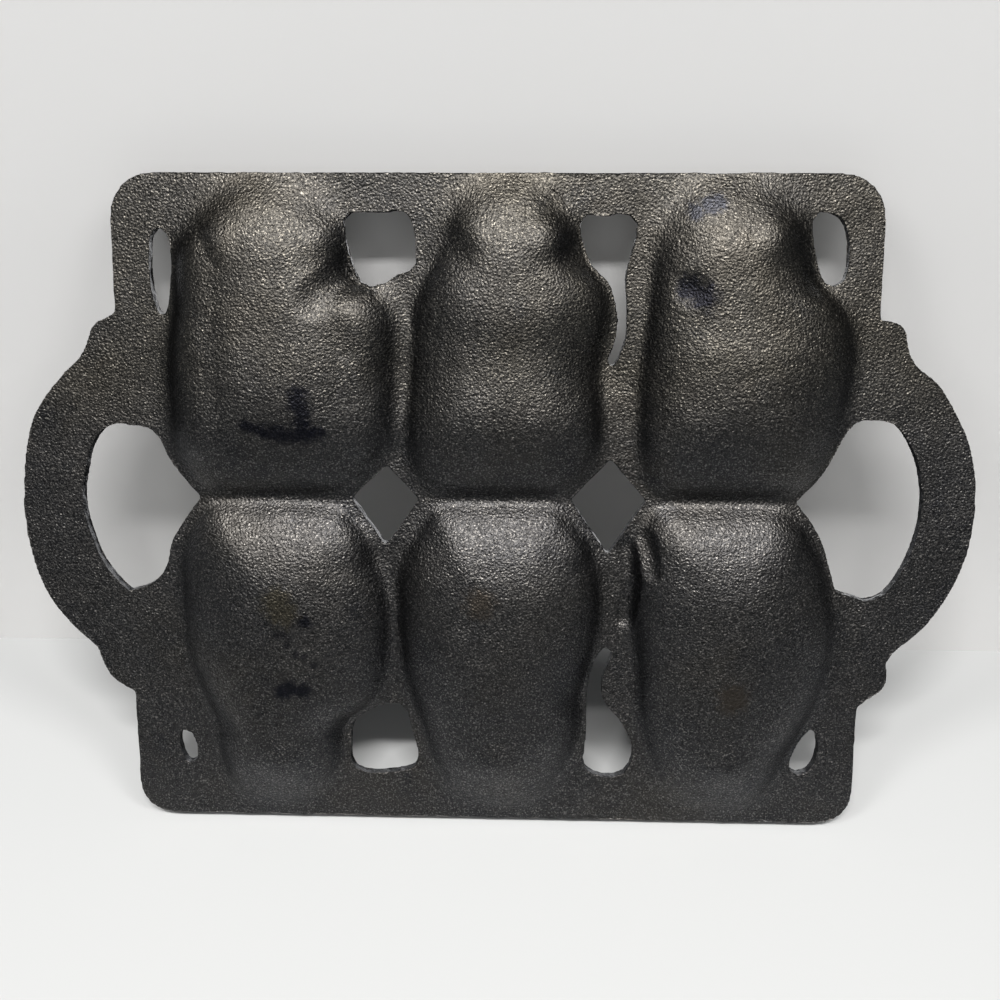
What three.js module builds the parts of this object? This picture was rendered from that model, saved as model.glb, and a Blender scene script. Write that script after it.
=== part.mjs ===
// A cast iron baking pan with six snowman cups in two rows, foot to foot, and a loop handle at each end.
// It stands as it is used: mouths up, on the six rounded bodies. Front is -Y, left is -X, up is +Z.
import * as THREE from 'three';

// Driving dimensions, in millimetres.
const CUP_WIDTH = 74; // a cup across its body, where it leaves the deck
const FRONT_CUP_LENGTH = 106.5; // foot of the body to crown of the head, front row
const REAR_CUP_LENGTH = 113; // the same, rear row
const BODY_DROP = 12.5; // how far the bodies hang below the deck
const HEAD_DROP = 10.5; // how far the heads hang below the deck
const CUP_WALL = 4; // rim of a cup, seen from above
const CUP_FLOOR = 4; // iron under a cup
const COLUMN_WEB = 4; // deck between neighbouring columns
const ROW_WEB = 2; // deck between the two rows
const LEFT_BORDER = 18.8; // deck outside the left column
const RIGHT_BORDER = 9.2; // deck outside the right column
const FRONT_BORDER = 2.5; // deck past the front heads
const REAR_BORDER = 4; // deck past the rear heads
const DECK_THICKNESS = 4.5;
const FRONT_CORNER = 15; // corner radii of the deck
const REAR_CORNER = 12;
const HANDLE_REACH = 36; // how far a handle stands out from the deck
const HANDLE_SPAN = 135.6; // a handle along the deck, ear to ear
const LEFT_BAR = 21.8; // width of the grip, at its middle
const RIGHT_BAR = 18.8;
const LEFT_LOOP_SPAN = 59; // finger loop along the deck
const RIGHT_LOOP_SPAN = 62.2;

// Form of a cup's section, from the deck (0) to the flat along its spine (1).
const DOME_ROUND = 2.2; // higher is flatter on top
const DOME_STEEP = 1.3; // higher is steeper at the deck
const CROWN_STEEP = 1; // the same, at the crown of a head
const SPINE_FLAT = 0.06; // share of the half width that is flat along the spine
const HEAD_FALL = 1.6; // higher keeps the spine level for longer between body and head

// How finely the curves are faceted.
const CUP_STEPS = 52; // round a cup's outline
const OUTER_RINGS = 8; // deck to spine, outside
const INNER_RINGS = 6; // rim to spine, inside
const RING_CROWDING = 1.5; // above 1, the rings stand closer together near the deck
const FACET_LENGTH = 3.6; // along windows and handles
const CORNER_STEPS = 6;

// The plan that follows from those sizes.
const COLUMNS = 3;
const columnPitch = CUP_WIDTH + COLUMN_WEB;
const deckLength = COLUMNS * CUP_WIDTH + (COLUMNS - 1) * COLUMN_WEB + LEFT_BORDER + RIGHT_BORDER;
const deckWidth = FRONT_CUP_LENGTH + REAR_CUP_LENGTH + ROW_WEB + FRONT_BORDER + REAR_BORDER;
const firstColumn = -deckLength / 2 + LEFT_BORDER + CUP_WIDTH / 2;
const rowLine = -deckWidth / 2 + FRONT_BORDER + FRONT_CUP_LENGTH + ROW_WEB / 2;
const underside = BODY_DROP;
const top = underside + DECK_THICKNESS;
const FRONT = -1;
const REAR = 1;

const iron = new THREE.MeshStandardMaterial({ color: 0x2d2b2a, roughness: 0.58, metalness: 0.8 });

// Cup outlines at the deck, from the foot of the body round by the left side, and the two ends of the
// cup's spine. A point is a pair of shares: per cent of the half width from the column's middle, and per
// cent of the length from the foot.
const CUPS = [
  {
    name: 'cup_front_left',
    column: 0,
    row: FRONT,
    body: [-4, 38],
    head: [-9, 70],
    outline: [
      [-8, 0], [-67, 0], [-97, 11], [-105, 32], [-101, 50], [-93, 61], [-90, 74], [-80, 87], [-48, 98],
      [9, 100], [53, 90], [63, 76], [75, 67], [97, 62], [102, 38], [98, 15], [74, 5], [60, 1],
    ],
  },
  {
    name: 'cup_front_middle',
    column: 1,
    row: FRONT,
    body: [-3, 38],
    head: [1, 70],
    outline: [
      [-8, 0], [-62, 0], [-89, 9], [-95, 35], [-87, 61], [-66, 76], [-61, 85], [-49, 93], [-29, 99],
      [25, 100], [45, 95], [57, 89], [69, 75], [91, 65], [91, 52], [86, 45], [85, 15], [46, 0],
    ],
  },
  {
    name: 'cup_front_right',
    column: 2,
    row: FRONT,
    body: [4, 38],
    head: [-5, 70],
    outline: [
      [-13, 0], [-64, 0], [-86, 9], [-92, 31], [-86, 57], [-79, 82], [-70, 91], [-51, 98],
      [9, 100], [49, 91], [62, 71], [75, 66], [91, 62], [103, 52], [95, 24], [68, 5], [41, 0],
    ],
  },
  {
    name: 'cup_rear_left',
    column: 0,
    row: REAR,
    body: [-1, 36],
    head: [-9, 71],
    outline: [
      [-5, 0], [-67, 0], [-95, 14], [-100, 34], [-97, 50], [-87, 60], [-75, 69], [-64, 92], [-45, 98],
      [14, 99], [37, 94], [49, 87], [55, 73], [72, 67], [86, 64], [96, 56], [98, 30], [69, 6], [60, 2],
    ],
  },
  {
    name: 'cup_rear_middle',
    column: 1,
    row: REAR,
    body: [-6, 36],
    head: [-3, 71],
    outline: [
      [-8, 0], [-62, 0], [-73, 2], [-81, 7], [-102, 19], [-104, 38], [-99, 56], [-90, 65], [-63, 91],
      [-43, 97], [-10, 100], [19, 99], [42, 94], [68, 79], [75, 55], [88, 41], [87, 20], [63, 6], [44, 0],
    ],
  },
  {
    name: 'cup_rear_right',
    column: 2,
    row: REAR,
    body: [2, 36],
    head: [-6, 71],
    outline: [
      [-8, 0], [-67, 0], [-78, 2], [-84, 7], [-97, 19], [-90, 47], [-85, 68], [-63, 92], [-43, 98],
      [22, 99], [42, 94], [54, 86], [60, 79], [80, 68], [97, 51], [97, 33], [68, 7], [56, 3], [41, 0],
    ],
  },
];

// Windows that lighten the deck beside the heads, drawn in the same shares about a column, or about the
// web beside it (a half column).
const WINDOWS = [
  {
    column: 0,
    row: FRONT,
    outline: [[-107, 85], [-100, 83], [-98, 70], [-106, 57.5], [-114, 66], [-112, 83.5]],
  },
  {
    column: 0.5,
    row: FRONT,
    outline: [
      [-36, 89.5], [-10, 89.5], [13, 89.5], [21, 76], [19, 73], [2, 71], [-8, 68], [-18, 67],
      [-28, 68.5], [-42, 88],
    ],
  },
  {
    column: 1.5,
    row: FRONT,
    outline: [
      [-35, 89], [-20, 88.5], [-1, 89.5], [8, 87], [-1, 70.5], [1, 61], [1, 53], [-3, 47.5], [-10, 42.5],
      [-15, 42.5], [-10, 47.5], [-5, 53.5], [-7, 61], [-14, 69], [-29, 74], [-40, 87],
    ],
  },
  {
    column: 2,
    row: FRONT,
    outline: [[66, 90], [81, 89], [89, 85], [90, 70.5], [82, 68], [73, 69.5], [61, 88]],
  },
  {
    column: 0,
    row: REAR,
    outline: [[-106, 75.5], [-97, 76.5], [-94, 85], [-101, 86], [-108, 78]],
  },
  {
    column: 0.5,
    row: REAR,
    outline: [
      [-41, 71.5], [-9, 65.5], [6, 66.5], [12, 73.5], [19, 82], [16, 86], [-32, 88], [-43, 86], [-44, 77],
    ],
  },
  {
    column: 1.5,
    row: REAR,
    outline: [
      [-12, 46], [-6, 46.5], [-15, 56], [-14, 63], [3, 70], [15, 78], [15, 83.5], [7, 87.5], [-8, 88.5],
      [-26, 86.5], [-30, 83.5], [-27, 75], [-27, 63], [-23, 52.5],
    ],
  },
  {
    column: 2,
    row: REAR,
    outline: [[82, 72], [87, 74.5], [86, 82.5], [79, 86], [68, 86.5], [63, 85], [66, 80]],
  },
];

// Diamonds where four cups meet: the tips to the front and rear, and the side tips on the row line.
const DIAMONDS = [
  { column: 0.5, frontTip: [-7, 9.5], rearTip: [-9, 13.4], left: -39, right: 21 },
  { column: 1.5, frontTip: [-10, 12.2], rearTip: [-11, 15.4], left: -45, right: 22 },
];

// The handles, as shares of their reach and half span from the deck's edge, front ear to rear ear, and
// the finger loop as shares of its own reach and half span. The loop runs on into the deck to a point
// on the row line between two cups, through the two rows of points drawn about the handle's column.
const HANDLES = [
  {
    name: 'handle_left',
    side: -1,
    column: 0,
    bar: LEFT_BAR,
    loopSpan: LEFT_LOOP_SPAN,
    outer: [
      [0, -100], [10, -97], [22, -94], [29, -85], [36, -78], [57, -67], [86, -45], [100, -5],
      [96, 24], [83, 46], [57, 65], [36, 76], [32, 83], [26, 90], [16, 95], [0, 100],
    ],
    loop: [[0, -99], [39, -94], [69, -76], [92, -40], [100, -3], [63, 61], [33, 85], [0, 101]],
    frontNotch: [[-139, 22], [-125, 21.5], [-116, 18.5], [-106, 10.5]],
    rearNotch: [[-99, 8], [-109, 14], [-114, 20.5], [-122, 24.5], [-136, 27.5]],
    point: -79,
  },
  {
    name: 'handle_right',
    side: 1,
    column: 2,
    bar: RIGHT_BAR,
    loopSpan: RIGHT_LOOP_SPAN,
    outer: [
      [0, -98], [14, -97], [23, -94], [29, -82], [36, -76], [60, -65], [91, -35], [100, -6],
      [96, 19], [82, 41], [60, 59], [34, 72], [26, 78], [28, 87], [23, 94], [12, 98], [0, 103],
    ],
    loop: [[0, -103], [39, -99], [82, -65], [97, -32], [100, -3], [90, 34], [60, 72], [30, 93], [0, 97]],
    frontNotch: [[113, 25.5], [103, 22.5], [87, 11.5], [74, 5]],
    rearNotch: [[74, 5.5], [84, 11.5], [94, 21.5], [100, 27], [110, 27.5]],
    point: 58,
  },
];

// A point of the plan in millimetres. A row of 0 is the line between the two rows.
function planPoint(column, row, [across, along]) {
  const x = firstColumn + column * columnPitch + (across / 100) * (CUP_WIDTH / 2);
  const length = row === FRONT ? FRONT_CUP_LENGTH : REAR_CUP_LENGTH;
  const y = rowLine + row * (ROW_WEB / 2 + (along / 100) * length);
  return new THREE.Vector2(x, y);
}

function spline(points, closed) {
  const knots = points.map((p) => new THREE.Vector3(p.x, p.y, 0));
  return new THREE.CatmullRomCurve3(knots, closed, 'centripetal');
}

function inPlan(points) {
  return points.map((p) => new THREE.Vector2(p.x, p.y));
}

// A closed smooth outline in evenly spaced steps, anticlockwise seen from above.
function smoothLoop(points, steps) {
  const curve = spline(points, true);
  const count = steps ?? Math.ceil(curve.getLength() / FACET_LENGTH);
  const loop = inPlan(curve.getSpacedPoints(count).slice(0, -1));
  return THREE.ShapeUtils.isClockWise(loop) ? loop.reverse() : loop;
}

// Cups stand foot to foot, so an outline is cut straight along the foot line of its row.
function straightFoot(loop, row) {
  const foot = rowLine + (row * ROW_WEB) / 2;
  return loop.map((p) => new THREE.Vector2(p.x, row * Math.max(row * p.y, row * foot)));
}

// An open smooth line in evenly spaced steps, both ends included.
function smoothLine(points) {
  const curve = spline(points, false);
  return inPlan(curve.getSpacedPoints(Math.ceil(curve.getLength() / FACET_LENGTH)));
}

// A plate of the deck's thickness, with holes, from the deck's underside to its top.
function plate(outline, holes) {
  const shape = new THREE.Shape(outline);
  shape.holes = holes.map((hole) => new THREE.Path(hole));
  const geometry = new THREE.ExtrudeGeometry(shape, { depth: DECK_THICKNESS, bevelEnabled: false });
  return geometry.translate(0, 0, underside);
}

// Share of the full drop at a share of the way from the deck to the spine.
function domeShare(way, steep) {
  return Math.pow(1 - Math.pow(1 - way, DOME_ROUND), 1 / steep);
}

// How far the spine hangs below the deck, from the body (0) to the head (1).
function spineDrop(share) {
  return THREE.MathUtils.lerp(BODY_DROP, HEAD_DROP, share ** HEAD_FALL);
}

// Where the section through an outline point meets the cup's spine, how deep the cup is there, and how
// steeply the section leaves the deck. Round a head the sections get gentler towards its crown.
function spineFoot(point, body, head) {
  const axis = head.clone().sub(body);
  const along = point.clone().sub(body).dot(axis) / axis.lengthSq();
  const share = THREE.MathUtils.clamp(along, 0, 1);
  const at = body.clone().addScaledVector(axis, share);
  const crown = along > 1 ? point.clone().sub(head).normalize().dot(axis.normalize()) : 0;
  return { at, drop: spineDrop(share), steep: THREE.MathUtils.lerp(DOME_STEEP, CROWN_STEEP, crown), along };
}

// A narrow loop filled by triangles that cross from one side of the spine to the other, foot to head.
function crossStrip(feet) {
  const count = feet.length;
  const place = feet.map((foot) => foot.along);
  let right = place.indexOf(Math.min(...place));
  let left = (right + 1) % count;
  const triangles = [];
  while (triangles.length < count - 2) {
    const nextLeft = (left + 1) % count;
    const nextRight = (right + count - 1) % count;
    if (place[nextLeft] < place[nextRight]) {
      triangles.push([left, nextLeft, right]);
      left = nextLeft;
    } else {
      triangles.push([left, nextRight, right]);
      right = nextRight;
    }
  }
  return triangles;
}

// Loops of points joined into a skin, closed at both ends across the spine.
function skin(loops, feet) {
  const count = loops[0].length;
  const positions = loops.flat().flatMap((p) => [p.x, p.y, p.z]);
  const index = [];
  for (let ring = 0; ring < loops.length - 1; ring += 1) {
    for (let i = 0; i < count; i += 1) {
      const a = ring * count + i;
      const b = ring * count + ((i + 1) % count);
      index.push(a, b, b + count, a, b + count, a + count);
    }
  }
  const last = (loops.length - 1) * count;
  for (const [a, b, c] of crossStrip(feet)) {
    index.push(a, c, b, last + a, last + b, last + c);
  }
  const geometry = new THREE.BufferGeometry();
  geometry.setAttribute('position', new THREE.Float32BufferAttribute(positions, 3));
  geometry.setIndex(index);
  geometry.computeVertexNormals();
  return geometry;
}

// One loop of a cup: each outline point moved a share of the way to the spine, at its own height.
function cupLoop(outline, feet, share, height) {
  return outline.map((point, i) => {
    const moved = point.clone().lerp(feet[i].at, share(i));
    return new THREE.Vector3(moved.x, moved.y, height(i));
  });
}

// A cup as one shell: the dome outside, the seam in the deck, the rim, and the hollow inside.
function cupGeometry(outline, body, head) {
  const feet = outline.map((point) => spineFoot(point, body, head));
  const reach = 1 - SPINE_FLAT;
  const rim = outline.map((point, i) => CUP_WALL / point.distanceTo(feet[i].at));
  const loops = [];
  for (let ring = OUTER_RINGS; ring >= 0; ring -= 1) {
    const way = (ring / OUTER_RINGS) ** RING_CROWDING;
    const height = (i) => underside - feet[i].drop * domeShare(way, feet[i].steep);
    loops.push(cupLoop(outline, feet, () => reach * way, height));
  }
  loops.push(cupLoop(outline, feet, () => 0, () => top));
  for (let ring = 0; ring <= INNER_RINGS; ring += 1) {
    const way = (ring / INNER_RINGS) ** RING_CROWDING;
    const depth = (i) => feet[i].drop + DECK_THICKNESS - CUP_FLOOR;
    const height = (i) => top - depth(i) * domeShare(way, feet[i].steep);
    loops.push(cupLoop(outline, feet, (i) => rim[i] + (reach - rim[i]) * way, height));
  }
  return skin(loops, feet);
}

// The edge of a handle and of its loop, in millimetres.
function handleEdges({ side, bar, loopSpan, outer, loop }) {
  const place = (reach, span) => ([out, along]) =>
    new THREE.Vector2(side * (deckLength / 2 + (out / 100) * reach), (along / 100) * (span / 2));
  return {
    outer: outer.map(place(HANDLE_REACH, HANDLE_SPAN)),
    loop: loop.map(place(HANDLE_REACH - bar, loopSpan)),
  };
}

function handleGeometry(handle) {
  const edges = handleEdges(handle);
  return plate([...smoothLine(edges.outer), ...smoothLine(edges.loop).reverse()], []);
}

// The part of a finger loop that is cut into the deck, front to rear.
function notch(handle) {
  const edges = handleEdges(handle);
  const point = planPoint(handle.column, 0, [handle.point, 0]);
  const front = handle.frontNotch.map((p) => planPoint(handle.column, FRONT, p));
  const rear = handle.rearNotch.map((p) => planPoint(handle.column, REAR, p));
  const inward = smoothLine([edges.loop[0], ...front, point]);
  const outward = smoothLine([point, ...rear, edges.loop.at(-1)]);
  return [...inward.slice(0, -1), ...outward];
}

function corner(x, y, radius, from) {
  const quarter = new THREE.EllipseCurve(x, y, radius, radius, from, from + Math.PI / 2, false, 0);
  return quarter.getPoints(CORNER_STEPS);
}

// The deck's outer edge, anticlockwise from the front left corner.
function deckOutline() {
  const x = deckLength / 2;
  const y = deckWidth / 2;
  const [left, right] = HANDLES.map(notch);
  return [
    ...corner(-x + FRONT_CORNER, -y + FRONT_CORNER, FRONT_CORNER, Math.PI),
    ...corner(x - FRONT_CORNER, -y + FRONT_CORNER, FRONT_CORNER, -Math.PI / 2),
    ...right,
    ...corner(x - REAR_CORNER, y - REAR_CORNER, REAR_CORNER, 0),
    ...corner(-x + REAR_CORNER, y - REAR_CORNER, REAR_CORNER, Math.PI / 2),
    ...left.reverse(),
  ];
}

function diamond({ column, frontTip, rearTip, left, right }) {
  return [
    planPoint(column, FRONT, frontTip),
    planPoint(column, 0, [right, 0]),
    planPoint(column, REAR, rearTip),
    planPoint(column, 0, [left, 0]),
  ];
}

const pan = new THREE.Group();

function addPiece(name, geometry) {
  const piece = new THREE.Mesh(geometry, iron.clone());
  piece.name = name;
  pan.add(piece);
}

const cupOutlines = [];
for (const { name, column, row, body, head, outline } of CUPS) {
  const edge = straightFoot(smoothLoop(outline.map((p) => planPoint(column, row, p)), CUP_STEPS), row);
  cupOutlines.push(edge);
  addPiece(name, cupGeometry(edge, planPoint(column, row, body), planPoint(column, row, head)));
}

const windows = WINDOWS.map(({ column, row, outline }) => {
  return smoothLoop(outline.map((p) => planPoint(column, row, p)));
});
addPiece('deck', plate(deckOutline(), [...cupOutlines, ...windows, ...DIAMONDS.map(diamond)]));

for (const handle of HANDLES) {
  addPiece(handle.name, handleGeometry(handle));
}

export default pan;
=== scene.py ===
# %% [markdown]
# # A cast iron snowman pan
# The real pan is a single sand casting: a pierced deck, six snowman cups that hang from it in two rows,
# and a loop handle at each end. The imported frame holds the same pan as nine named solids. They are the
# right size and in the right place, but they are faceted and their seams are hard. This lesson turns them
# back into iron: one skin with soft corners, the dents and folds of a sand mould, a grainy dark finish,
# and then nine pieces again, one for each solid.

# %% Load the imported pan
import math

import bpy
import numpy as np
from mathutils import Matrix, Vector
from mathutils.kdtree import KDTree


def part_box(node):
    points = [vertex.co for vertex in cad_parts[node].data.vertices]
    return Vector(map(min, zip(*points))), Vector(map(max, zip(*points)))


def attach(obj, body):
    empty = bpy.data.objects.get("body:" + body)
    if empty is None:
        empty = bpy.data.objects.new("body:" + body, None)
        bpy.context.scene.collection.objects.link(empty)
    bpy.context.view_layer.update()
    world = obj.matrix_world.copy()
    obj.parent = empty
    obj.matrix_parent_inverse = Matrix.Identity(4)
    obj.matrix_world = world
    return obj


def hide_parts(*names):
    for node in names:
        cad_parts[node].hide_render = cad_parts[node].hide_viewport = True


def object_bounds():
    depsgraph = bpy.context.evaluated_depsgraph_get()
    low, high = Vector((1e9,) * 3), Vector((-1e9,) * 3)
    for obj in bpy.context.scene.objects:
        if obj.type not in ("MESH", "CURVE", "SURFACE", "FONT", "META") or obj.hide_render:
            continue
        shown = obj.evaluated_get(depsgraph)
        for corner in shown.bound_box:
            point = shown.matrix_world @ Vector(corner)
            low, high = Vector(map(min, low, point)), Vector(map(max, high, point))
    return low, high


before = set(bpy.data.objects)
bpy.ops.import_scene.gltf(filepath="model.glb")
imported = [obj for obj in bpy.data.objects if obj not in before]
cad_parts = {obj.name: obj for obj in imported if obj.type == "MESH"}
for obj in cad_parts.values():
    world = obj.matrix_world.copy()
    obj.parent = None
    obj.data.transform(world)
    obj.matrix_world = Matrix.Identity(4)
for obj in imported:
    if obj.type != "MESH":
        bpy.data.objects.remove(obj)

cad_low, cad_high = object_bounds()
CUPS = sorted(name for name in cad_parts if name.startswith("cup_"))
HANDLES = sorted(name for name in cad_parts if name.startswith("handle_"))
MM = 0.001
print("solids:", ", ".join(sorted(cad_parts)))
print("box in mm:", [round(x / MM, 1) for x in cad_high - cad_low])

# %% [markdown]
# ## The camera
# The photograph looks at the underside of the pan, which stands on its rear edge and leans back against a
# wall. The frame must not be turned, so the camera goes under the pan instead and looks up at it. Its
# place comes from the straight edges of the deck in the photograph: one viewpoint makes all four fit.

# %% Place the camera
CAMERA_AT = Vector((0.01627, -0.08624, -0.41125))
CAMERA_LOOK = Vector((-0.03247, 0.19049, 0.98115))
CAMERA_UP = Vector((-0.00980, -0.98168, 0.19027))
LENS_MM = 45
NEAREST, FARTHEST = 0.01, 20


def turned(right, up, back, at):
    """A placing matrix from three axes and a point."""
    return Matrix.Translation(at) @ Matrix((right, up, back)).transposed().to_4x4()


bpy.ops.object.select_all(action="DESELECT")
bpy.ops.object.camera_add()
camera = bpy.context.object
camera.name = "photo_camera"
camera.data.lens = LENS_MM
camera.matrix_world = turned(CAMERA_LOOK.cross(CAMERA_UP), CAMERA_UP, -CAMERA_LOOK, CAMERA_AT)
camera.data.clip_start = NEAREST
camera.data.clip_end = FARTHEST
bpy.context.scene.camera = camera
camera_gap = (camera.location - (cad_low + cad_high) / 2).length
print("camera is", round(camera_gap / MM), "mm from the pan's middle")

# %% [markdown]
# ## The stage
# The pan's own up is +Z, but in the photograph up is the way that the pan leans. Two large planes stand
# for the photograph's table and wall. They touch the pan where it touched them. Another plane is the table
# that the pan lies on when it is seen from above. Each plane shows from its front only, so none of them
# hides the pan from another side. The near part of the photograph's table is solid to all light, because
# its white shines on the lower ends of the heads. The rest is there for the camera only, so that the lamps
# behind it still work.

# %% Table and wall
LEAN = math.radians(23)
photo_up = Vector((0, -math.cos(LEAN), -math.sin(LEAN)))
to_wall = Vector((0, -math.sin(LEAN), math.cos(LEAN)))
along = Vector((1, 0, 0))
FOOT = Vector((0, cad_high.y, cad_high.z))  # the edge that the pan stands on
TABLE_GAP = 1 * MM  # from that edge to the table
WALL_REACH = 0.0668  # from the origin to the wall
STAGE_SIZE = 4.0


def one_sided(name, colour, seen_by):
    """A matt material that shows from its front only, to all rays or to the camera's."""
    material = bpy.data.materials.new(name)
    material.use_nodes = True
    tree = material.node_tree
    tree.nodes.clear()
    output = tree.nodes.new("ShaderNodeOutputMaterial")
    matt = tree.nodes.new("ShaderNodeBsdfDiffuse")
    clear = tree.nodes.new("ShaderNodeBsdfTransparent")
    mix = tree.nodes.new("ShaderNodeMixShader")
    side = tree.nodes.new("ShaderNodeNewGeometry")
    path = tree.nodes.new("ShaderNodeLightPath")
    front = tree.nodes.new("ShaderNodeMath")
    front.operation = "SUBTRACT"
    front.inputs[0].default_value = 1
    matt.inputs["Color"].default_value = (*colour, 1)
    if seen_by == "CAMERA":
        tree.links.new(path.outputs["Is Camera Ray"], front.inputs[0])
    tree.links.new(side.outputs["Backfacing"], front.inputs[1])
    front.use_clamp = True
    tree.links.new(front.outputs[0], mix.inputs[0])
    tree.links.new(clear.outputs[0], mix.inputs[1])
    tree.links.new(matt.outputs[0], mix.inputs[2])
    tree.links.new(mix.outputs[0], output.inputs["Surface"])
    return material


def stage_plane(name, right, up, at, depth, colour, seen_by="CAMERA"):
    """A plane as wide as the stage that reaches from a point to a depth along up, or back from it."""
    bpy.ops.object.select_all(action="DESELECT")
    bpy.ops.mesh.primitive_plane_add(size=1)
    plane = bpy.context.object
    plane.name = name
    shape = Matrix.Diagonal((STAGE_SIZE, abs(depth), 1, 1))
    plane.matrix_world = turned(right, up, right.cross(up), at + up * depth / 2) @ shape
    plane.data.materials.append(one_sided(name, colour, seen_by))
    return plane


wall_foot = photo_up * (FOOT.dot(photo_up) - TABLE_GAP) + to_wall * WALL_REACH
TABLE_WHITE = (0.68, 0.68, 0.67)
WALL_WHITE = (0.66, 0.652, 0.642)
LOWER_WHITE = (0.80, 0.80, 0.79)
NEAR_TABLE = 0.21
LOWER_TABLE = Vector((0, -STAGE_SIZE / 2, -0.0003))  # its front edge, just under the pan
photo_planes = [
    stage_plane("photo_table", along, to_wall, wall_foot, -NEAR_TABLE, TABLE_WHITE, "ALL"),
    stage_plane("far_table", along, to_wall, wall_foot - to_wall * NEAR_TABLE, -STAGE_SIZE, TABLE_WHITE),
    stage_plane("photo_wall", along, photo_up, wall_foot, STAGE_SIZE, WALL_WHITE),
]
stage_plane("table_below", along, Vector((0, 1, 0)), LOWER_TABLE, STAGE_SIZE, LOWER_WHITE)
print("the wall meets the table at", [round(x / MM) for x in wall_foot], "mm")

# %% [markdown]
# ## The light
# In the photograph the shadows in the windows end in a line, and the highlights sit on the upper ends of
# the heads and bodies. Both say that the main light stands about 60 degrees above the table. It is warm,
# and lights the iron only. The table and wall have a lamp in the same place, one at each side and a weak
# one in front, so that their level can be set without washing out the iron. The mouths of the cups face
# the other way and have wide lamps for views from above.

# %% Lamps
PAN_MIDDLE = Vector((0, 0, 0.0125))


def soft_lamp(name, at, width, height, watts, colour):
    """A rectangular lamp that faces the pan and doesn't show itself."""
    bpy.ops.object.select_all(action="DESELECT")
    bpy.ops.object.light_add(type="AREA", location=at)
    lamp = bpy.context.object
    lamp.name = name
    lamp.data.shape = "RECTANGLE"
    lamp.data.size = width
    lamp.data.size_y = height
    lamp.data.energy = watts
    lamp.data.color = colour
    lamp.rotation_mode = "QUATERNION"
    lamp.rotation_quaternion = (PAN_MIDDLE - at).to_track_quat("-Z", "Y")
    lamp.visible_camera = False
    return lamp


def link_to_photo(lamp, state):
    """Lets a lamp light the photograph's table and wall only (INCLUDE), or all but them (EXCLUDE)."""
    receivers = bpy.data.collections.new(lamp.name + "_receivers")
    for plane in photo_planes:
        receivers.objects.link(plane)
    for item in receivers.collection_objects:
        item.light_linking.link_state = state
    lamp.light_linking.receiver_collection = receivers


def raised(degrees, distance):
    """A place in front of the pan, at an angle above the table and a distance from the pan's middle."""
    angle = math.radians(degrees)
    return PAN_MIDDLE + (photo_up * math.sin(angle) - to_wall * math.cos(angle)) * distance


WARM_LIGHT, WHITE_LIGHT = (1, 0.95, 0.89), (1, 1, 1)
LAMPS = [  # name, place, width, height, watts, colour, and what it does with the photograph's table and wall
    ("high_lamp", raised(62, 0.95), 0.80, 0.48, 16.5, WARM_LIGHT, "EXCLUDE"),
    ("stage_lamp", raised(59, 2.4), 1.2, 0.147, 51.0, WHITE_LIGHT, "INCLUDE"),
    ("stage_left", raised(59, 1.6) - along, 0.8, 0.5, 10.0, WHITE_LIGHT, "INCLUDE"),
    ("stage_right", raised(59, 1.6) + along, 0.8, 0.5, 10.0, WHITE_LIGHT, "INCLUDE"),
    ("stage_fill", raised(30, 1.3), 1.4, 1.4, 3.0, WHITE_LIGHT, "INCLUDE"),
    ("mouth_lamp", Vector((0.35, -0.45, 0.95)), 1.2, 1.2, 12.0, WHITE_LIGHT, "EXCLUDE"),
    ("mouth_fill", Vector((-0.9, -0.3, 0.6)), 1.0, 1.0, 6.0, WHITE_LIGHT, "EXCLUDE"),
]
for *lamp, state in LAMPS:
    link_to_photo(soft_lamp(*lamp), state)

# %% [markdown]
# The sky stands for the room. Overhead and behind the camera it is dim. Low down it has some of the white
# of the table, which shines on the parts that face down. Behind the wall it is nearly dark, because the
# wall lets light through here and a real one would not.

# %% Sky
SKY_ABOVE = 0.12
SKY_TABLE = 0.35
SKY_ROOM = 0.13
SKY_BEHIND = 0.03
SKY_SHOWN = 0.86  # what the camera sees
SKY_COLOUR = (0.92, 0.97, 1, 1)

sky = bpy.data.worlds.new("studio_sky")
bpy.context.scene.world = sky
sky.use_nodes = True
tree = sky.node_tree
glow = tree.nodes["Background"]
glow.inputs["Color"].default_value = SKY_COLOUR
way = tree.nodes.new("ShaderNodeTexCoord").outputs["Generated"]


def towards(direction, low, high, top):
    """A ramp over the sky: 0 where the share of a direction is low, top where it is high."""
    dot = tree.nodes.new("ShaderNodeVectorMath")
    dot.operation = "DOT_PRODUCT"
    dot.inputs[1].default_value = direction
    ramp = tree.nodes.new("ShaderNodeMapRange")
    ramp.interpolation_type = "SMOOTHSTEP"
    for name, value in (("From Min", low), ("From Max", high), ("To Min", 0), ("To Max", top)):
        ramp.inputs[name].default_value = value
    tree.links.new(way, dot.inputs[0])
    tree.links.new(dot.outputs["Value"], ramp.inputs["Value"])
    return ramp.outputs["Result"]


def combine(operation, first, second):
    """Combines two strengths of the sky; each is a socket or a number."""
    node = tree.nodes.new("ShaderNodeMath")
    node.operation = operation
    for socket, value in zip(node.inputs, (first, second)):
        if isinstance(value, float):
            socket.default_value = value
        else:
            tree.links.new(value, socket)
    return node.outputs[0]


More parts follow.
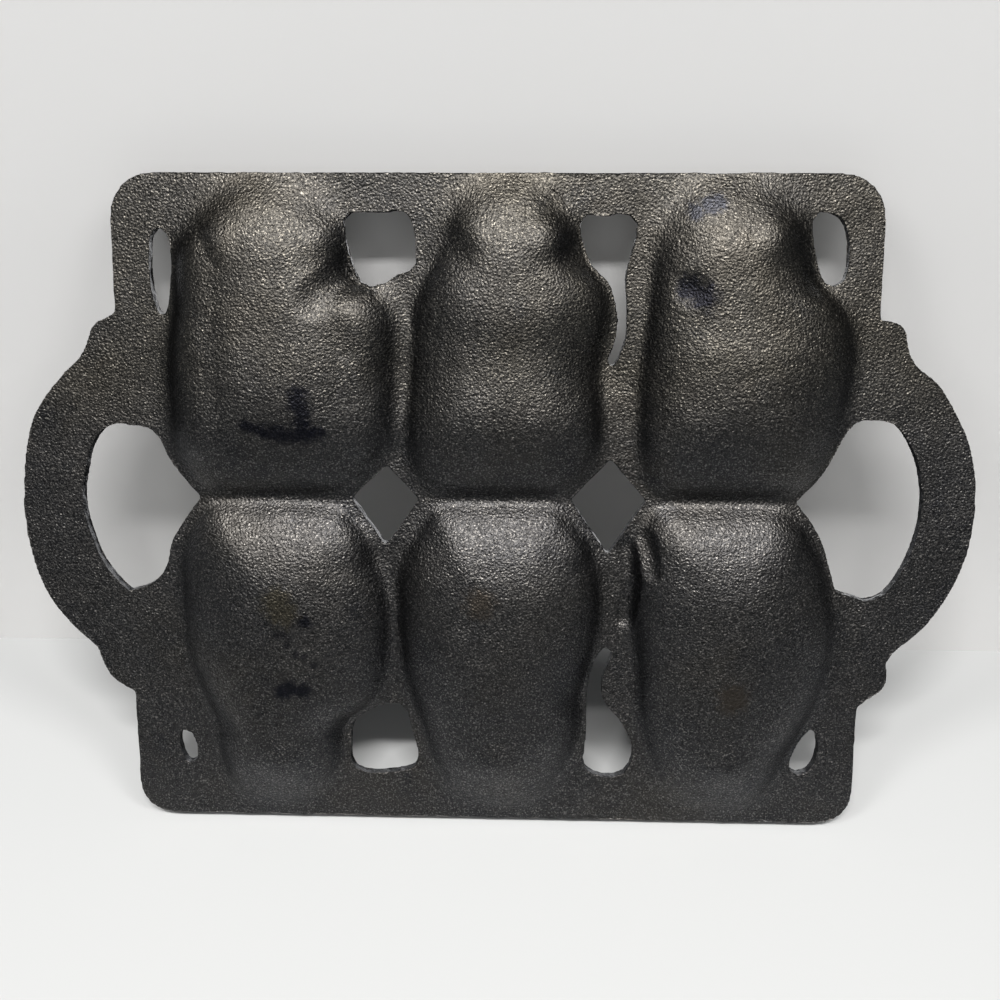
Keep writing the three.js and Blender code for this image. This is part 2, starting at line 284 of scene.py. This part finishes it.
light = combine("MAXIMUM", towards(photo_up, 0.3, 0.9, SKY_ABOVE), towards(-photo_up, 0.1, 0.6, SKY_TABLE))
light = combine("MULTIPLY", combine("MAXIMUM", light, SKY_ROOM), towards(-to_wall, -0.15, 0.15, 1))
light = combine("MAXIMUM", light, SKY_BEHIND)
seen = tree.nodes.new("ShaderNodeLightPath")
shown = tree.nodes.new("ShaderNodeMix")
shown.inputs["B"].default_value = SKY_SHOWN
tree.links.new(seen.outputs["Is Camera Ray"], shown.inputs["Factor"])
tree.links.new(light, shown.inputs["A"])
tree.links.new(shown.outputs["Result"], glow.inputs["Strength"])
bpy.context.scene.view_settings.view_transform = "Standard"
print("sky: above", SKY_ABOVE, "table", SKY_TABLE, "room", SKY_ROOM, "behind", SKY_BEHIND)

# %% [markdown]
# ## One skin
# On the real pan nothing is joined: the iron ran into one mould. Copies of the nine solids are therefore
# joined and remeshed with small voxels. The voxels fuse what touches, the seams inside disappear, and the
# new mesh has even quads that can take dents and grain. Modelling each cup by hand would leave a visible
# line round it.

# %% Join and remesh
VOXEL = 0.6 * MM


def pick(*objects):
    """Selects these objects only; the first is the active one."""
    bpy.ops.object.select_all(action="DESELECT")
    for o in objects:
        o.select_set(True)
    bpy.context.view_layer.objects.active = objects[0]


def copy_of(node, name):
    """A copy of a solid, with its loose triangles merged."""
    copy = bpy.data.objects.new(name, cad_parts[node].data.copy())
    copy.data.materials.clear()
    bpy.context.scene.collection.objects.link(copy)
    pick(copy)
    bpy.ops.object.mode_set(mode="EDIT")
    bpy.ops.mesh.select_all(action="SELECT")
    bpy.ops.mesh.remove_doubles(threshold=0.01 * MM)
    bpy.ops.object.mode_set(mode="OBJECT")
    return copy


def apply_new(piece, kind, **settings):
    """Adds a modifier to a piece, sets it and applies it."""
    pick(piece)
    bpy.ops.object.modifier_add(type=kind)
    modifier = piece.modifiers[-1]
    for key, value in settings.items():
        setattr(modifier, key, value)
    bpy.ops.object.modifier_apply(modifier=modifier.name)


copies = [copy_of(node, "copy_" + node) for node in sorted(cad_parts)]
pick(*copies)
bpy.ops.object.join()
casting = bpy.context.object
casting.name = "casting"
apply_new(casting, "REMESH", mode="VOXEL", voxel_size=VOXEL)
print("one skin of", len(casting.data.polygons), "quads")

# %% [markdown]
# ## Soft corners where the cups leave the deck
# Molten iron doesn't fill a sharp inside corner, so the cups run into the deck with a fillet, widest where
# a front head ends. Vertex groups say where a Smooth modifier works: first over all that isn't close to a
# free edge, which melts the facets of the domes, then near the outlines of the cups on the underside, then
# round the ends of those heads. A last light pass takes the edge off the windows and the rim.

# %% Read the outlines from the solids
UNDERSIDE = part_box("deck")[0].z
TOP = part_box("deck")[1].z
DECK_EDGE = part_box("deck")[1].x
LEVEL = 0.05 * MM  # points this close to a plane lie in it
FREE = 0.3 * MM  # outlines this far from a cup are free edges


def ring_of(node):
    """Points of the plan along a solid's outline in the plane of the deck's underside, 1 mm apart or less."""
    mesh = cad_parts[node].data
    points = []
    for face in mesh.polygons:
        corners = [mesh.vertices[i].co for i in face.vertices]
        level = [p for p in corners if abs(p.z - UNDERSIDE) < LEVEL]
        if len(level) == 2 and abs(face.normal.z) < 0.3:
            steps = math.ceil((level[0] - level[1]).length / MM) or 1
            points += [level[0].lerp(level[1], i / steps)[:2] for i in range(steps + 1)]
    return np.unique(np.round(points, 6), axis=0)


def tree_of(points):
    """A search tree over points of the plan."""
    tree = KDTree(len(points))
    for i, (x, y) in enumerate(points):
        tree.insert((x, y, 0), i)
    tree.balance()
    return tree


cup_points = np.concatenate([ring_of(node) for node in CUPS])
near_cup = tree_of(cup_points)
rim_points = np.concatenate([ring_of(node) for node in ["deck", *HANDLES]])
free_points = [p for p in rim_points if near_cup.find((p[0], p[1], 0))[2] > FREE]
near_edge = tree_of(free_points)
print(len(cup_points), "points round the cups,", len(free_points), "along free edges")


# %% Weights by place
def skin_of(piece):
    """Coordinates and normals of a piece's points."""
    count = len(piece.data.vertices)
    places = np.empty(count * 3)
    normals = np.empty(count * 3)
    piece.data.vertices.foreach_get("co", places)
    piece.data.vertices.foreach_get("normal", normals)
    return places.reshape(-1, 3), normals.reshape(-1, 3)


def step(values, low, high):
    """Smooth step from 0 at low to 1 at high."""
    t = np.clip((values - low) / (high - low), 0, 1)
    return t * t * (3 - 2 * t)


def weigh(piece, name, weights):
    """A vertex group with these weights; points under 1 per cent are left out."""
    group = piece.vertex_groups.new(name=name)
    levels = np.round(weights, 2)
    for level in np.unique(levels[levels > 0]):
        group.add(np.nonzero(levels == level)[0].tolist(), float(level), "REPLACE")
    return group.name


places, normals = skin_of(casting)
print("the skin has", len(places), "points, of which", int((normals[:, 2] < 0).sum()), "face down")

# %% Soften
EDGE_NEAR, EDGE_FAR = 0.8 * MM, 3.0 * MM
FILLET_NEAR, FILLET_FAR = 1.5 * MM, 7.5 * MM
CROWN_NEAR, CROWN_FAR = 4 * MM, 16 * MM
HEAD_STARTS, HEAD_ENDS = 82 * MM, 96 * MM  # along the front row
FACING_DOWN = 0.35  # normals under this belong to the underside
DOME_ROUNDS, FILLET_ROUNDS, CROWN_ROUNDS, LAST_ROUNDS = 40, 90, 320, 2


def plan_gap(tree, points):
    """Distance in the plan from each point to the nearest point of a tree."""
    return np.array([tree.find((x, y, 0))[2] for x, y in points[:, :2]])


def off_edges(points):
    """1 away from the free edges, 0 close to them."""
    return step(plan_gap(near_edge, points), EDGE_NEAR, EDGE_FAR)


def soften(piece, name, weights, rounds):
    apply_new(piece, "SMOOTH", factor=0.5, iterations=rounds, vertex_group=weigh(piece, name, weights))
    print(name, "softened over", int((weights > 0.01).sum()), "points")


loose = off_edges(places)
below = loose * (normals[:, 2] < FACING_DOWN)
outline_gap = np.hypot(plan_gap(near_cup, places), places[:, 2] - UNDERSIDE)
head_end = step(-places[:, 1], HEAD_STARTS, HEAD_ENDS)
soften(casting, "domes", loose, DOME_ROUNDS)
soften(casting, "fillets", below * (1 - step(outline_gap, FILLET_NEAR, FILLET_FAR)), FILLET_ROUNDS)
soften(casting, "crowns", below * head_end * (1 - step(outline_gap, CROWN_NEAR, CROWN_FAR)), CROWN_ROUNDS)
apply_new(casting, "SMOOTH", factor=0.5, iterations=LAST_ROUNDS)

# %% [markdown]
# ## Folds, dents and swellings
# The cups were carved by hand, so no two are alike. Each mark below is a soft spot or a soft line on the
# underside: how far it moves the iron, how wide it is, and the points of the plan that it runs through.
# The marks become weights, and a Displace modifier moves the skin along its normals by that weight.

# %% Press the marks into the underside
SWELLINGS = [
    (3.0, 13, [(-42, -69), (-39, -58)]),  # arm of the front left figure
    (2.2, 8, [(-39, -60), (-38, -50), (-38.5, -38), (-39.5, -28)]),  # its side, down to the web
    (0.3, 12, [(-82, -108), (-64, -109)]),  # crowns of the front row
    (0.3, 12, [(-4, -108), (12, -109)]),
    (0.3, 12, [(72, -108), (88, -109)]),
    (1.5, 10, [(-101, -88), (-103, -50), (-101, -25)]),  # broad sides of the front left figure
    (1.5, 9, [(-44, -50), (-43, -25)]),
    (1.0, 10, [(-48, 12)]),  # shoulders of the rear row
    (0.8, 9, [(28, 12)]),
    (1.3, 10, [(-54, -93)]),  # cheeks of the front row
    (1.0, 10, [(-92, -92)]),
    (1.2, 10, [(18, -93)]),
    (0.6, 9, [(-9, -94)]),
    (1.1, 10, [(93, -93)]),
    (0.4, 12, [(66, 11), (98, 11)]),
    (0.8, 14, [(-12, 51)]),  # arm of the rear middle figure
    (0.5, 10, [(84, 60)]),
    (1.2, 11, [(-75, 91)]),  # ends of the rear heads
    (1.2, 11, [(3, 91)]),
    (1.2, 11, [(82, 90)]),
]
SINKINGS = [
    (1.2, 8, [(-46, -83), (-59, -72)]),  # fold between head and arm
    (1.7, 23, [(-20, -51), (6, -49), (28, -52)]),  # waist of the front middle figure
    (0.8, 9, [(-12, -90)]),
    (0.8, 8, [(27, -88)]),
    (1.2, 8, [(65, -76)]),  # dent beside the front right head
    (0.35, 14, [(72, -67), (92, -66)]),
    (1.0, 4, [(46, 12), (48, 24), (46, 38)]),  # creases beside the rear right figure
    (0.8, 4, [(53, 9), (55, 20)]),
    (1.0, 8, [(-53, 79)]),  # valleys beside the rear heads
    (0.8, 8, [(-95, 78)]),
    (0.8, 9, [(28, 66)]),
]
LEAST_HEIGHT = 0.4  # no swelling reaches lower
TURNED = 0.35  # marks fade out where the skin turns away from its side


def line_distance(points, line):
    """Distance in the plan from each point to a line of points."""
    best = np.full(len(points), np.inf)
    for start, end in zip(line, line[1:] + line[-1:]):
        a = np.array(start) * MM
        span = np.array(end) * MM - a
        way = points - a
        length = max(float(span @ span), 1e-12)
        t = np.clip(way @ span / length, 0, 1)
        best = np.minimum(best, np.linalg.norm(way - t[:, None] * span, axis=1))
    return best


def press(piece, name, marks, sign, side):
    """Moves a piece's skin on one side (-1 the underside, 1 the mouths) along its normals, by soft marks."""
    places, normals = skin_of(piece)
    amount = np.zeros(len(places))
    for height, width, line in marks:
        share = np.clip(1 - (line_distance(places[:, :2], line) / (width * MM)) ** 2, 0, 1) ** 2
        amount = np.maximum(amount, height * share)
    amount *= step(normals[:, 2] * side, 0.0, TURNED)
    if sign * side < 0:
        room = places[:, 2] / MM - LEAST_HEIGHT
        amount = np.minimum(amount, np.maximum(room, 0))
    most = float(amount.max())
    group = weigh(piece, name, amount / most)
    apply_new(piece, "DISPLACE", strength=sign * most * MM, mid_level=0, vertex_group=group)
    print(name, "moved", int((amount > 0.01).sum()), "points by up to", round(most, 1), "mm")


press(casting, "swellings", SWELLINGS, 1, -1)
press(casting, "sinkings", SINKINGS, -1, -1)

# %% [markdown]
# The arm of the front left figure runs out into the deck without an edge, so its side is softened once more.

# %% Soften the arm
ARM = [(-40, -71), (-38, -56), (-39, -30)]
ARM_REACH = 11 * MM
ARM_FACING = 0.2
ARM_ROUNDS = 400
places, normals = skin_of(casting)
spot = np.clip(1 - (line_distance(places[:, :2], ARM) / ARM_REACH) ** 2, 0, 1)
soften(casting, "arm", spot * (normals[:, 2] < ARM_FACING) * off_edges(places), ARM_ROUNDS)

# %% [markdown]
# The mouths are not in the photograph. A cake from such a pan shows a face, buttons and a scarf, so shallow
# ones are carved into the floors of the cups: a guess, in the plainest form.

# %% Carve the floors of the cups
COLUMNS = (-74, 5, 83)
ROWS = ((-83, -45), (80, 38))  # heads and bodies along the pan
EYE, NOSE, BUTTON, SCARF = (0.9, 3.0), (1.0, 3.4), (0.9, 3.4), (0.9, 4.5)  # depth and width
EYE_ASIDE, EYE_ABOVE = 7, 5
BUTTONS_AT = (-13, -1, 11)  # from the body's middle to the head
NECK = 0.55  # share of the way from body to head
SCARF_ASIDE, SCARF_SAG = 17, 1.5
dots, scarves = [], []
for x in COLUMNS:
    for head, body in ROWS:
        way = 1 if head > 0 else -1
        neck = body + NECK * (head - body)
        dots += [(*EYE, [(x + aside, head + EYE_ABOVE * way)]) for aside in (-EYE_ASIDE, EYE_ASIDE)]
        dots += [(*NOSE, [(x, head - way)])]
        dots += [(*BUTTON, [(x, body + at * way)]) for at in BUTTONS_AT]
        ends, sag = neck + SCARF_SAG * way, neck - SCARF_SAG * way
        scarves.append((*SCARF, [(x - SCARF_ASIDE, ends), (x, sag), (x + SCARF_ASIDE, ends)]))
press(casting, "dots", dots, -1, 1)
press(casting, "scarves", scarves, -1, 1)

# %% [markdown]
# ## The skin of a sand casting
# Sand leaves three marks. The rims of the deck, windows and handles are ragged, where the sand crumbled.
# The mould is never quite true, so flat faces wander by a few tenths of a millimetre. And the grains print
# a fine orange peel. All are Displace modifiers with cloud textures; the finest grain is left to the
# material, because it is smaller than the mesh.

# %% Waves and grain
RIM_NEAR, RIM_FAR = 1.5 * MM, 3.5 * MM
STEEP, LEVEL_FACE = 0.4, 0.8  # upright share of the normal on a rim and on a face
SAND = {  # size and height in mm, and the level of the cloud that stays in place
    "ragged_rims": (4.5, 1.8, 0.7),
    "mould_waves": (17, 0.8, 0.8),
    "sand_print": (1.5, 0.14, 0.75),
}


def sand(piece, name, size, height, level, group=""):
    """Moves a piece's skin in and out by a cloud texture of that size."""
    clouds = bpy.data.textures.new(name, "CLOUDS")
    clouds.noise_scale = size * MM
    clouds.noise_basis = "IMPROVED_PERLIN"
    clouds.noise_depth = 1
    apply_new(piece, "DISPLACE", texture=clouds, texture_coords="LOCAL", strength=height * MM,
              mid_level=level, vertex_group=group)


places, normals = skin_of(casting)
rim = 1 - step(plan_gap(near_edge, places), RIM_NEAR, RIM_FAR)
rim *= 1 - step(np.abs(normals[:, 2]), STEEP, LEVEL_FACE)
rims = weigh(casting, "rims", rim)
for name, (size, height, level) in SAND.items():
    sand(casting, name, size, height, level, rims if name == "ragged_rims" else "")
apply_new(casting, "SMOOTH", factor=0.3, iterations=1)
places, normals = skin_of(casting)
print("casting box in mm:", (places.min(0) / MM).round(2), (places.max(0) / MM).round(2))

# %% [markdown]
# ## Nine pieces again
# The library keeps the pan as named parts. A copy of each cup's solid gives its cutter: only the narrow
# wall that lies in the deck is kept, stretched up and down past the pan and capped. A Boolean modifier
# then takes the cup out of the skin, and what no cutter takes is the deck.

# %% Cutters
CUTTER_REACH = 20 * MM
UPRIGHT = 0.001  # upright share of the normal on a wall
HANDLE_BOX = (0.1, 0.4, 0.2)


def select_faces(piece, test):
    for face in piece.data.polygons:
        face.select = test(face)


def select_points(piece, test):
    for vertex in piece.data.vertices:
        vertex.select = test(vertex.co)


def cup_cutter(node):
    """A closed prism on a cup's outline."""
    cutter = copy_of(node, "cutter_" + node)
    points = cutter.data.vertices
    bpy.ops.object.mode_set(mode="EDIT")
    bpy.ops.mesh.select_mode(type="FACE")
    bpy.ops.mesh.select_all(action="DESELECT")
    bpy.ops.object.mode_set(mode="OBJECT")
    select_faces(cutter, lambda face: not (
        abs(face.normal.z) < UPRIGHT and min(points[i].co.z for i in face.vertices) > UNDERSIDE - LEVEL
    ))
    bpy.ops.object.mode_set(mode="EDIT")
    bpy.ops.mesh.delete(type="FACE")
    for level, reach in ((TOP, CUTTER_REACH), (UNDERSIDE, -UNDERSIDE - CUTTER_REACH)):
        bpy.ops.mesh.select_mode(type="VERT")
        bpy.ops.mesh.select_all(action="DESELECT")
        bpy.ops.object.mode_set(mode="OBJECT")
        select_points(cutter, lambda place: abs(place.z - level) < LEVEL)
        bpy.ops.object.mode_set(mode="EDIT")
        bpy.ops.transform.translate(value=(0, 0, reach))
        bpy.ops.mesh.edge_face_add()
    bpy.ops.mesh.select_all(action="SELECT")
    bpy.ops.mesh.normals_make_consistent(inside=False)
    bpy.ops.object.mode_set(mode="OBJECT")
    return cutter


def handle_cutter(node):
    """A box from the deck's end outwards."""
    side = 1 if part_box(node)[1].x > 0 else -1
    bpy.ops.object.select_all(action="DESELECT")
    bpy.ops.mesh.primitive_cube_add(size=1)
    cutter = bpy.context.object
    cutter.name = "cutter_" + node
    cutter.scale = HANDLE_BOX
    cutter.location = (side * (DECK_EDGE + HANDLE_BOX[0] / 2), 0, UNDERSIDE)
    bpy.ops.object.transform_apply(location=True, rotation=True, scale=True)
    return cutter


cutters = {node: cup_cutter(node) for node in CUPS}
cutters.update({node: handle_cutter(node) for node in HANDLES})
print("cutters:", {name: len(cutter.data.polygons) for name, cutter in cutters.items()})


# %% Cut
def part_of_skin(name):
    """A copy of the whole skin, ready to be cut."""
    part = casting.copy()
    part.data = casting.data.copy()
    part.name = name
    bpy.context.scene.collection.objects.link(part)
    part.vertex_groups.clear()
    return part


pieces = {}
for node, cutter in cutters.items():
    pieces[node] = part_of_skin("iron_" + node)
    apply_new(pieces[node], "BOOLEAN", operation="INTERSECT", solver="MANIFOLD", object=cutter)
pieces["deck"] = part_of_skin("iron_deck")
for cutter in cutters.values():
    apply_new(pieces["deck"], "BOOLEAN", operation="DIFFERENCE", solver="MANIFOLD", object=cutter)
for leftover in [casting, *cutters.values()]:
    bpy.data.objects.remove(leftover)
print("pieces:", ", ".join(piece.name for piece in pieces.values()))

# %% [markdown]
# A library piece stays under 200,000 triangles. Only the deck has more than 200,000 triangles, so a
# Decimate modifier takes points from its flattest places.

# %% Thin the deck
MOST_TRIANGLES = 190_000


def triangles(piece):
    piece.data.calc_loop_triangles()
    return len(piece.data.loop_triangles)


apply_new(pieces["deck"], "DECIMATE", ratio=MOST_TRIANGLES / triangles(pieces["deck"]))
for piece in pieces.values():
    print(piece.name, triangles(piece), "triangles")

# %% [markdown]
# ## The iron
# Seasoned cast iron is nearly black, with a dull oily sheen that breaks into glints on the grain. It is
# treated as a dark metal, so that nearly all that it shows is sheen. The colour drifts between a warm grey
# and a blue black, and the front row is a little browner than the rest. Everything reads Object coordinates,
# and all pieces sit at the origin, so the finish runs across the cuts without a step.

# %% Iron finish
iron = bpy.data.materials.new("seasoned_iron")
iron.use_nodes = True
tree = iron.node_tree
shader = tree.nodes["Principled BSDF"]
shader.inputs["Metallic"].default_value = 1.0
coordinates = tree.nodes.new("ShaderNodeTexCoord").outputs["Object"]


def noise(scale, detail=2.0, roughness=0.5):
    """Soft noise, with so many patches to a metre."""
    node = tree.nodes.new("ShaderNodeTexNoise")
    node.inputs["Scale"].default_value = scale
    node.inputs["Detail"].default_value = detail
    node.inputs["Roughness"].default_value = roughness
    tree.links.new(coordinates, node.inputs["Vector"])
    return node.outputs["Fac"]


def pebbles(scale):
    """Height of close-packed grains."""
    node = tree.nodes.new("ShaderNodeTexVoronoi")
    node.inputs["Scale"].default_value = scale
    tree.links.new(coordinates, node.inputs["Vector"])
    return calc("SUBTRACT", 1, node.outputs["Distance"])


def ramp(value, low, high, start, end):
    """Goes from start, where a value is low, to end, where it is high."""
    node = tree.nodes.new("ShaderNodeMapRange")
    for name, number in (("From Min", low), ("From Max", high), ("To Min", start), ("To Max", end)):
        node.inputs[name].default_value = number
    tree.links.new(value, node.inputs["Value"])
    return node.outputs["Result"]


def blend(share, first, second, mode="MIX"):
    """Mix of two colours; each is a socket or a colour."""
    node = tree.nodes.new("ShaderNodeMix")
    node.data_type = "RGBA"
    node.blend_type = mode
    tree.links.new(share, node.inputs[0])
    for socket, colour in ((node.inputs[6], first), (node.inputs[7], second)):
        if isinstance(colour, tuple):
            socket.default_value = (*colour, 1)
        else:
            tree.links.new(colour, socket)
    return node.outputs[2]


def calc(operation, first, second):
    """Combines two values; each is a socket or a number."""
    node = tree.nodes.new("ShaderNodeMath")
    node.operation = operation
    for socket, value in zip(node.inputs, (first, second)):
        if isinstance(value, (int, float)):
            socket.default_value = value
        else:
            tree.links.new(value, socket)
    return node.outputs[0]


# %% Colours of the iron
WARM = (0.062, 0.060, 0.0575)
NEUTRAL = (0.0545, 0.055, 0.0575)
BLUE_BLACK = (0.035, 0.0375, 0.0435)
GLINT = (0.220, 0.216, 0.210)
PIT_SHADE = (0.018, 0.018, 0.020)
BROWNED = (1.03, 1.0, 0.905)  # multiplies the colour of the front row
BROWN_ENDS, BROWN_STARTS = -50 * MM, -25 * MM
drift = ramp(noise(28, 3), 0.45, 0.68, 0, 1)
patches = ramp(noise(55, 4, 0.6), 0.5, 0.72, 0, 0.7)
colour = blend(patches, blend(drift, NEUTRAL, WARM), BLUE_BLACK)
# painted glints: bright specks in the colour of the grain
glint_specks = ramp(noise(1700, 1), 0.54, 0.72, 0, 0.85)
# painted shade: darker specks in the colour stand for the shade in the pits of the grain
pit_shade = ramp(noise(1250, 1), 0.30, 0.46, 0.6, 0)
colour = blend(pit_shade, blend(glint_specks, colour, GLINT), PIT_SHADE)
place = tree.nodes.new("ShaderNodeSeparateXYZ")
tree.links.new(coordinates, place.inputs[0])
front_row = ramp(place.outputs["Y"], BROWN_ENDS, BROWN_STARTS, 1, 0)
brown_share = calc("MULTIPLY", front_row, ramp(noise(18, 2), 0.35, 0.6, 0.45, 1))
colour = blend(brown_share, colour, BROWNED, "MULTIPLY")
print("iron colours: warm", WARM, "neutral", NEUTRAL, "blue black", BLUE_BLACK)

# %% [markdown]
# Grease has burnt on here and there. Each stain is a row of points of the plan with a ragged edge, on the
# underside only.

# %% Stains
GREASE = (0.013, 0.014, 0.020)
BLUED = (0.044, 0.047, 0.058)
SMEAR = (0.030, 0.030, 0.034)
RUST = (0.064, 0.059, 0.046)
BROWN_RUST = (0.066, 0.058, 0.050)
STAINS = [  # colour, width in mm, points of the plan in mm
    (GREASE, 2.8, [(-83, -30.5), (-81, -30), (-79, -29.5), (-77, -29), (-60, -28), (-58, -28)]),
    (GREASE, 4.6, [(-74, -28.5), (-71, -28), (-68, -27.5), (-65, -27.5), (-63, -28)]),
    (GREASE, 4.6, [(-65, -41), (-65, -38), (-64, -35), (-64, -32)]),
    (GREASE, 6.5, [(65, -76), (69, -74)]),
    (BLUED, 4.0, [(66, -101), (70, -103), (73, -104)]),
    (GREASE, 3.4, [(-65, 37)]),
    (SMEAR, 1.8, [(-74, 42), (-72, 42), (-70, 43), (-71, 46), (-68, 49), (-65, 50), (-62, 53)]),
    (GREASE, 4.0, [(-70, 61), (-73, 63), (-66, 62)]),
    (RUST, 7.0, [(-74, 31), (-72, 34)]),
    (BROWN_RUST, 7.0, [(83, 63), (-4, 30)]),
]
RAGGED, CORE = 0.3, 0.4  # shares of a stain's width: its edge's wander, and its even middle
MOST = 0.9  # a stain never covers the iron quite
plan = tree.nodes.new("ShaderNodeVectorMath")
plan.operation = "MULTIPLY"
plan.inputs[1].default_value = (1, 1, 0)
tree.links.new(coordinates, plan.inputs[0])
facing = tree.nodes.new("ShaderNodeSeparateXYZ")
tree.links.new(coordinates.node.outputs["Normal"], facing.inputs[0])
underside_share = ramp(facing.outputs["Z"], -0.1, 0.1, 1, 0)


def stain(points, width):
    """1 near any of these points of the plan, falling to 0 at a ragged edge."""
    nearest = 1.0
    for x, y in points:
        gap = tree.nodes.new("ShaderNodeVectorMath")
        gap.operation = "DISTANCE"
        gap.inputs[1].default_value = (x * MM, y * MM, 0)
        tree.links.new(plan.outputs[0], gap.inputs[0])
        nearest = calc("MINIMUM", nearest, gap.outputs["Value"])
    edge = ramp(noise(420, 3, 0.7), 0.3, 0.7, -RAGGED * width * MM, RAGGED * width * MM)
    share = ramp(calc("ADD", nearest, edge), CORE * width * MM, width * MM, MOST, 0)
    return calc("MULTIPLY", share, underside_share)


for tint, width, points in STAINS:
    colour = blend(stain(points, width), colour, tint)
print(len(STAINS), "stains")

# %% [markdown]
# Painted shade: the sides that face along the pan and the upright walls of the rims get a darker colour.
# The normal says which is which.

# %% Painted shade on the sides and rims
SIDE_SHADE = (0.020, 0.021, 0.024)
sideways = ramp(calc("ABSOLUTE", facing.outputs["X"], 0), 0.40, 0.75, 0, 0.75)
upright = ramp(calc("ABSOLUTE", facing.outputs["Z"], 0), 0.25, 0.50, 0.85, 0)
# painted shade goes where the normal points along the pan or the face stands upright
colour = blend(calc("MAXIMUM", sideways, upright), colour, SIDE_SHADE)
tree.links.new(colour, shader.inputs["Base Color"])
print("side_shade", SIDE_SHADE)

# %% [markdown]
# The sheen is neither polished nor matt, and changes from grain to grain. The grain is a bump of soft noise
# and close-packed pebbles, less than 1 mm across.

# %% Sheen and grain
GRAIN_HEIGHT = 0.4 * MM
tree.links.new(ramp(noise(1150, 1), 0.35, 0.65, 0.36, 0.52), shader.inputs["Roughness"])

grain = calc("ADD", calc("MULTIPLY", noise(1250, 1, 0.5), 0.7), calc("MULTIPLY", pebbles(1150), 0.3))
bump = tree.nodes.new("ShaderNodeBump")
bump.inputs["Strength"].default_value = 1.0
bump.inputs["Distance"].default_value = GRAIN_HEIGHT
tree.links.new(grain, bump.inputs["Height"])
tree.links.new(bump.outputs["Normal"], shader.inputs["Normal"])
print("iron finish:", len(tree.nodes), "nodes")

# %% [markdown]
# ## Hand the pieces over
# Every piece gets the iron, smooth shading with a sharp limit at the cuts, and its place in the frame: it
# rides on the pan's one body and stands for the solid that it was cut from.

# %% Shade, ride and replace
SHARP = math.radians(50)
for node, piece in pieces.items():
    piece.data.materials.clear()
    piece.data.materials.append(iron)
    pick(piece)
    bpy.ops.object.shade_smooth_by_angle(angle=SHARP)
    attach(piece, "root")
    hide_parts(node)
print(len(pieces), "pieces stand for", len(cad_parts), "solids")
